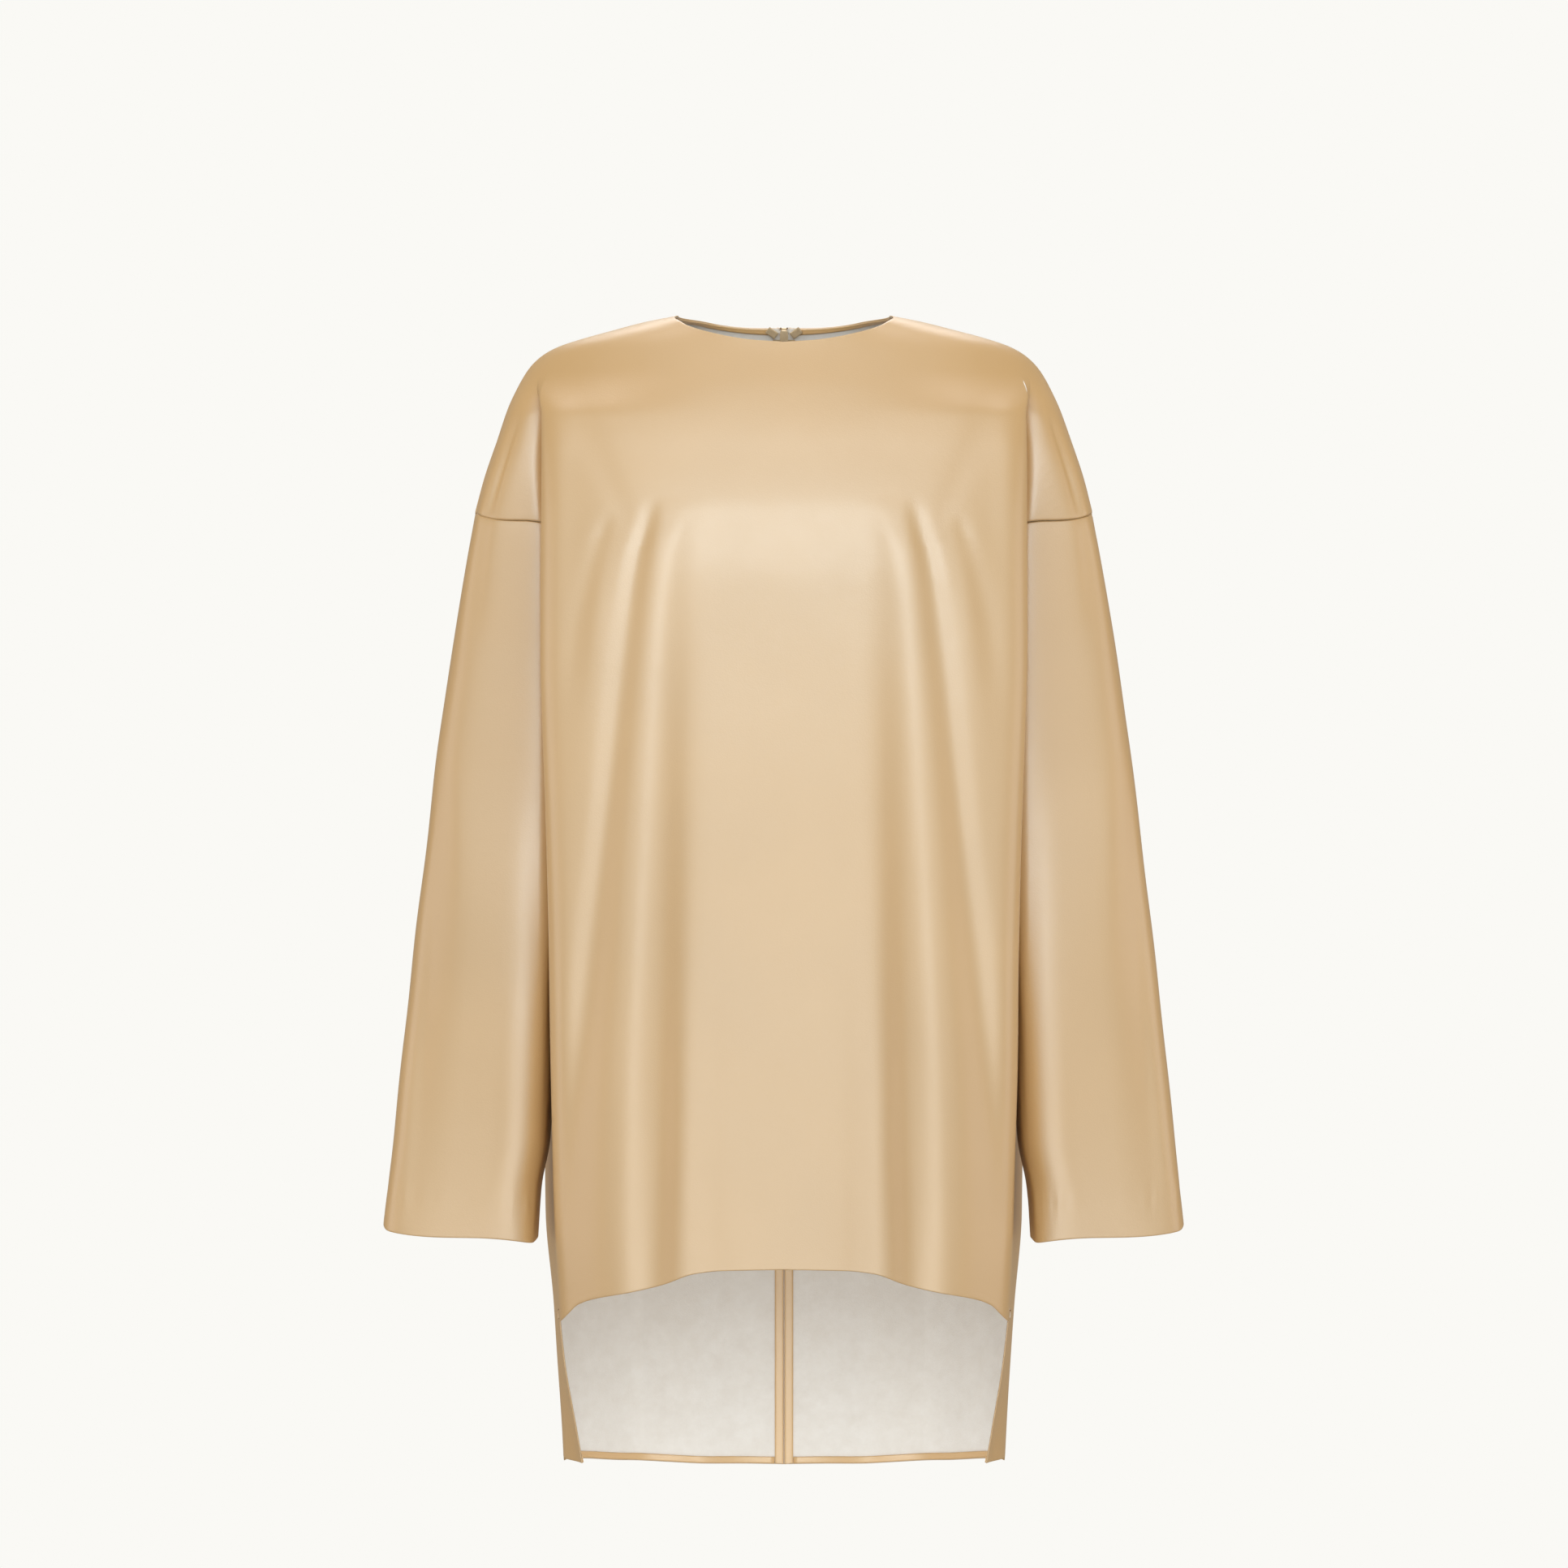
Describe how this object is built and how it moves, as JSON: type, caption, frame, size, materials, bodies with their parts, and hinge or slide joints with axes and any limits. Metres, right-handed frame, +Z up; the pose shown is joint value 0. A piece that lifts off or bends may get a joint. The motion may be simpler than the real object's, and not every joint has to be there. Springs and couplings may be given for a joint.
{
  "type": "long-sleeve top",
  "caption": "Loose long-sleeve top in smooth coated cloth, filled out as worn: wide neck, dropped shoulders, short front hem, long back, side slits and a zip at the back of the neck.",
  "frame": {"origin": "middle of the neck opening, level with the inner ends of the shoulder seams, where the wearer's shoulders carry the top", "axes": "+Z up, the front faces -Y, the wearer's left is +X"},
  "size_m": [0.5878, 0.2557, 0.8615],
  "materials": {
    "coated_cloth": "satin",
    "turned_cloth": "satin",
    "zip_tape": "woven",
    "zip_metal": "satin enamel"
  },
  "bodies": {
    "garment": {"front_panel": "coated_cloth", "back_panel_left": "coated_cloth", "back_panel_right": "coated_cloth", "sleeve_left": "coated_cloth", "sleeve_right": "coated_cloth", "neck_turning_left": "turned_cloth", "neck_turning_right": "turned_cloth", "back_seam_allowance_left": "turned_cloth", "back_seam_allowance_right": "turned_cloth", "back_hem_turning_left": "turned_cloth", "back_hem_turning_right": "turned_cloth", "zip_tape_left": "zip_tape", "zip_tape_right": "zip_tape", "zip_tape_end_left": "zip_tape", "zip_tape_end_right": "zip_tape", "zip_slider": "zip_metal"},
    "pull_tab": {"zip_pull": "zip_metal"}
  },
  "joints": [
    {"name": "pull_tab_swing", "type": "hinge", "parent": "garment", "child": "pull_tab", "pos_m": [0, 0.06582, -0.00741], "axis": [1, 0, 0], "range_deg": [0, 170]}
  ]
}
